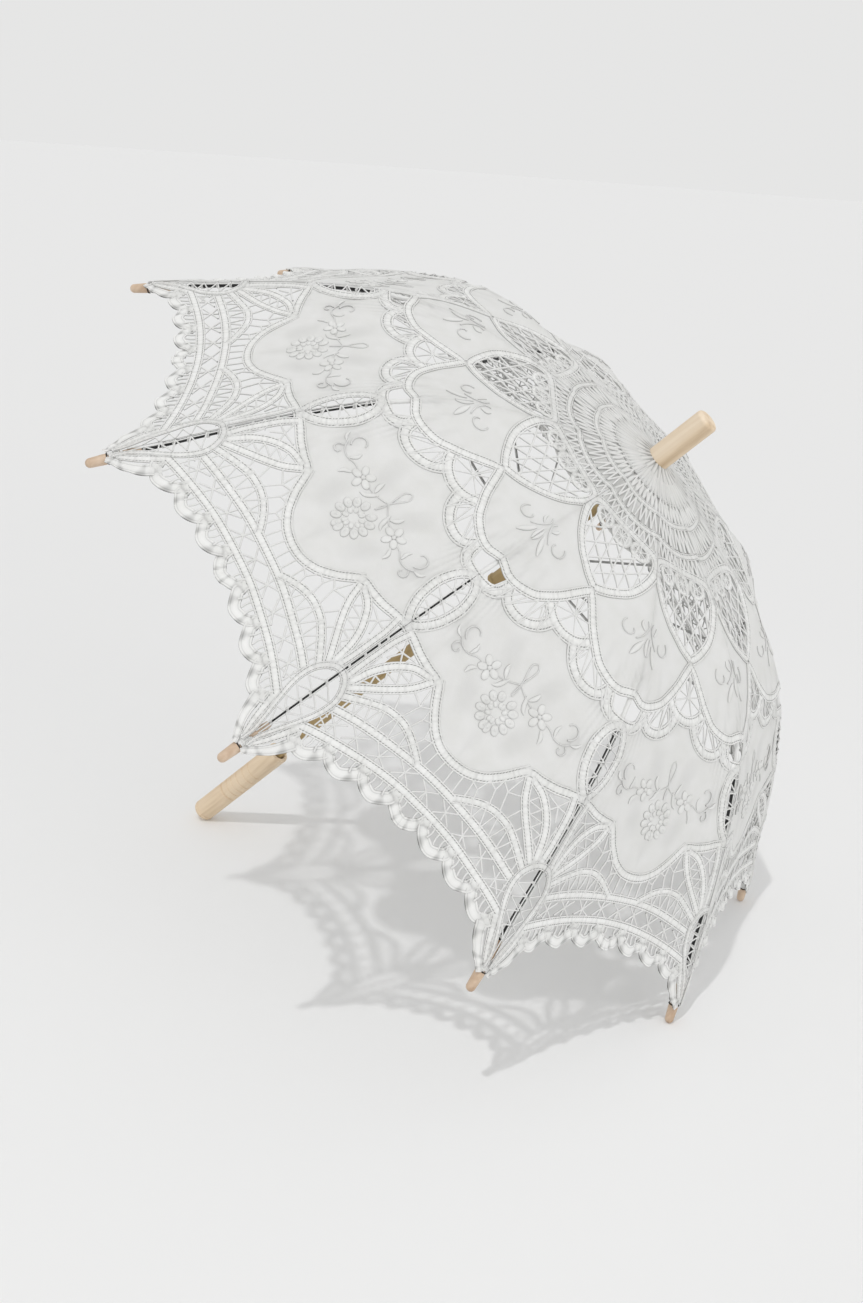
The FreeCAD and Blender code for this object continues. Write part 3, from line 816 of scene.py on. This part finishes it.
# Along the rib: its white sleeve, the stitches below it, and the wound waist of the tip.
SLEEVE, SLEEVE_R, SLEEVE_STEP = (16, 254), 1.85, 3.0
STITCHED, STITCH_EVERY = (262, 428), 11.0
TIP_WAIST, WAIST_LENGTH, WAIST_TURNS, WAIST_R = 446, 9, 9, 3.5
DARK_RING_Y, DARK_RING_R = 456, 4.1
for k in range(RIBS):
    body = f"rib_{k}"

    points, faces, tones = both_halves(plain, k)
    more, more_faces, more_tones = both_halves(tapes, k)
    cover = build(f"lace_cover_{k}", np.vstack([points, more]),
                  faces + [[i + len(points) for i in f] for f in more_faces], COTTON,
                  np.concatenate([tones, more_tones]))
    cover.data.materials.append(TAPE)
    kinds = np.zeros(len(cover.data.polygons), int)
    kinds[len(faces):] = 1
    cover.data.polygons.foreach_set("material_index", kinds)
    weld(cover)

    points, faces, tones = both_halves(brides, k)
    net = build(f"lace_brides_{k}", points, faces, THREAD, tones)
    points, faces, tones = both_halves(stitching, k)
    flowers = build(f"embroidery_{k}", points, faces, SILK, tones)
    for piece in (cover, net, flowers):
        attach(piece, body)
        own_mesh(piece)

    # Thread bound round the waist of the tip, the sleeve of the upper rib, and the stitches that
    # hold the cover to the rib below it.
    turn = np.linspace(0, WAIST_TURNS * 2 * math.pi, WAIST_TURNS * 16)
    place = TIP_WAIST + WAIST_LENGTH * turn / turn[-1]
    uneven = WAIST_R + 0.25 * np.sin(turn * 0.37 + k)[:, None]
    wraps = [round_tube(round_rib(k, place, turn, uneven), 0.6)]
    loop = np.linspace(0, 2 * math.pi, 13)
    heights = np.arange(*SLEEVE, SLEEVE_STEP)
    sleeve = np.array([round_rib(k, y + 0 * loop, loop, SLEEVE_R + 0.12 * math.sin(y))
                       for y in heights])
    wraps.append((sleeve.reshape(-1, 3), grid_faces(len(heights), len(loop))))
    for even in np.arange(*STITCHED, STITCH_EVERY):
        y = even + 2 * math.sin(1.9 * even + k)
        for step in (0, 1.1):
            wraps.append(round_tube(round_rib(k, y + step + 1.1 * np.sin(loop), loop, 1.9), 0.5))
    points, faces = together(wraps)
    binding = build(f"binding_{k}", points * MM, faces, THREAD)
    points, faces = round_tube(round_rib(k, DARK_RING_Y + 0 * loop, loop, DARK_RING_R), 0.55)
    dark = build(f"dark_ring_{k}", points * MM, faces, DARK_CORD)
    for piece in (binding, dark):
        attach(piece, body)
    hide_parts(f"canopy_panel_{k}")

# The middle of the cover, gathered in narrow pleats between the crown and the ferrule.
PLEATS, CROWN_TOP, FLAT_R, SLOPE = 20, 605.9 + 0.5, 12, 0.26
steps, rows = 240, 16
radii = np.linspace(6.2, 24.6, rows)
angles = np.linspace(0, 2 * math.pi, steps + 1)
heights = CROWN_TOP - np.clip(radii - FLAT_R, 0, None) * SLOPE
grid = []
for r, z in zip(radii, heights):
    pleat = (0.6 * np.cos(angles * PLEATS + 0.5 * np.sin(r / 3)) + 0.6) * min(1, (r - 6) / 6)
    grid.append([HANDLE_END + r * radial(a) + (z + p) * SHAFT for a, p in zip(angles, pleat)])
# Painted shade in the valleys of the pleats.
painted_pleat_shade = np.tile(0.72 + 0.28 * np.cos(angles * PLEATS), rows)
middle = build("lace_centre", np.array(grid).reshape(-1, 3) * MM, grid_faces(rows, steps + 1),
               TAPE, painted_pleat_shade)
weld(middle)
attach(middle, "frame")
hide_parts("canopy_centre")

# ---- floor, light and camera ------------------------------------------------------------------
# The floor is a little paler near the parasol. Its grey was set to meet the sky, and a
# faint line still shows at the horizon.
FLOOR_R, FLOOR_SIDES, FLOOR_GREY = 30, 48, 0.808
# The floor is painted paler round the parasol: a painted pool of light, fading out over its reach.
PAINTED_LIGHT_POOL, LIGHT_POOL_CENTRE, LIGHT_POOL_REACH = 0.06, (-0.1, -0.35, 0), 1.6
BACKDROP, ZENITH, HAZE_TOP = 0.79, 0.72, 0.1
corners = [(FLOOR_R * math.cos(a), FLOOR_R * math.sin(a), 0)
           for a in np.arange(FLOOR_SIDES) * 2 * math.pi / FLOOR_SIDES]
paper = Nodes("paper_floor", 0.9)
away = paper.add("ShaderNodeVectorMath", Vector=paper.coordinates)
away.operation = "DISTANCE"
away.inputs[1].default_value = LIGHT_POOL_CENTRE
shade = paper.add("ShaderNodeMapRange", Value=away.outputs["Value"])
shade.interpolation_type = "SMOOTHSTEP"
shade.inputs["From Max"].default_value = LIGHT_POOL_REACH
shade.inputs["To Min"].default_value = FLOOR_GREY + PAINTED_LIGHT_POOL
shade.inputs["To Max"].default_value = FLOOR_GREY
tint = paper.add("ShaderNodeCombineColor", Red=shade.outputs[0], Green=shade.outputs[0],
                 Blue=shade.outputs[0])
paper.link(tint.outputs[0], paper.shader.inputs["Base Color"])
paper.shader.inputs["Specular IOR Level"].default_value = 0.0
floor = build("floor", np.array(corners), [list(range(FLOOR_SIDES))], paper.material)

world = bpy.data.worlds.new("studio")
world.use_nodes = True
sky = world.node_tree.nodes["Background"]
sky.inputs["Color"].default_value = (1.0, 1.0, 0.995, 1)
parts = world.node_tree.nodes.new("ShaderNodeSeparateXYZ")
falling = world.node_tree.nodes.new("ShaderNodeMapRange")
falling.inputs["From Min"].default_value = HAZE_TOP
falling.inputs["To Min"].default_value = BACKDROP
falling.inputs["To Max"].default_value = ZENITH
direction = world.node_tree.nodes.new("ShaderNodeTexCoord")
world.node_tree.links.new(direction.outputs["Generated"], parts.inputs[0])
world.node_tree.links.new(parts.outputs["Z"], falling.inputs["Value"])
world.node_tree.links.new(falling.outputs[0], sky.inputs["Strength"])
bpy.context.scene.world = world

for name, energy, spread, heading in (("key", 0.7, 1.5, (-0.014, 0.458, -0.889)),
                                      ("fill", 0.9, 70.0, (-1.0, 0.35, -0.1))):
    lamp = bpy.data.objects.new(name, bpy.data.lights.new(name, "SUN"))
    lamp.data.energy = energy
    lamp.data.angle = math.radians(spread)
    lamp.rotation_euler = Vector(heading).to_track_quat("-Z", "Y").to_euler()
    bpy.context.scene.collection.objects.link(lamp)

camera = bpy.data.objects.new("camera", bpy.data.cameras.new("camera"))
camera.location = (0.487138, -1.201029, 0.674100)
camera.rotation_euler = [math.radians(a) for a in (71.128, -3.933, 24.692)]
camera.data.sensor_fit = "VERTICAL"
camera.data.sensor_height = 36.0
camera.data.lens = 41.90
camera.data.clip_end = 100
bpy.context.scene.collection.objects.link(camera)
bpy.context.scene.camera = camera
bpy.context.scene.view_settings.view_transform = "Standard"
